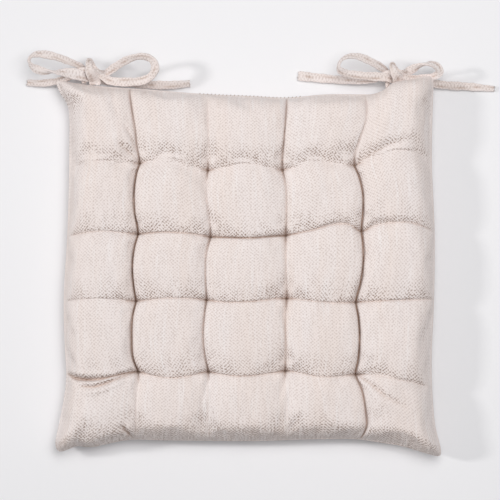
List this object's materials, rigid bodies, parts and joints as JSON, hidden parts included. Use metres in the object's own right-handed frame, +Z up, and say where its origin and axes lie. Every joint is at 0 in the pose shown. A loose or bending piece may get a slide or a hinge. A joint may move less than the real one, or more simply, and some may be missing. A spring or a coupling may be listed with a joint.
{
  "type": "chair seat pad",
  "caption": "Square knife-edge chair pad in cream herringbone cloth, tufted into pillows over fibre filling, with cloth ties tied in bows at the back corners.",
  "frame": {"origin": "middle of the pad without its ties, on the surface that it lies on", "axes": "+Z up out of the top face, +Y towards the back edge that carries the ties"},
  "size_m": [0.5144, 0.4356, 0.046],
  "materials": {
    "cover_cloth": "woven cotton and linen herringbone, cream with taupe slubs",
    "tie_cloth": "folded strips of the cover cloth",
    "filling_fibre": "loose white polyester fibre",
    "sewing_thread": "matt spun thread"
  },
  "bodies": {
    "pad": {"top_panel": "cover_cloth", "bottom_panel": "cover_cloth", "fibre_filling": "filling_fibre", "edge_seam": "sewing_thread", "closing_seam": "sewing_thread", "tuft_stitch_11": "sewing_thread", "tuft_stitch_12": "sewing_thread", "tuft_stitch_13": "sewing_thread", "tuft_stitch_14": "sewing_thread", "tuft_stitch_21": "sewing_thread", "tuft_stitch_22": "sewing_thread", "tuft_stitch_23": "sewing_thread", "tuft_stitch_24": "sewing_thread", "tuft_stitch_31": "sewing_thread", "tuft_stitch_32": "sewing_thread", "tuft_stitch_33": "sewing_thread", "tuft_stitch_34": "sewing_thread", "tuft_stitch_41": "sewing_thread", "tuft_stitch_42": "sewing_thread", "tuft_stitch_43": "sewing_thread", "tuft_stitch_44": "sewing_thread", "left_bartack_outer": "sewing_thread", "left_bartack_inner": "sewing_thread", "right_bartack_inner": "sewing_thread", "right_bartack_outer": "sewing_thread"},
    "left_bow": {"left_tie_outer": "tie_cloth", "left_tie_inner": "tie_cloth"},
    "right_bow": {"right_tie_inner": "tie_cloth", "right_tie_outer": "tie_cloth"}
  },
  "joints": [
    {"name": "left_bow_fold", "type": "hinge", "parent": "pad", "child": "left_bow", "pos_m": [-0.17566, 0.20019, 0.02], "axis": [0.9881, -0.1537, 0], "range_deg": [-50, 70]},
    {"name": "right_bow_fold", "type": "hinge", "parent": "pad", "child": "right_bow", "pos_m": [0.1557, 0.19729, 0.02], "axis": [0.9911, 0.1334, 0], "range_deg": [-50, 70]}
  ]
}
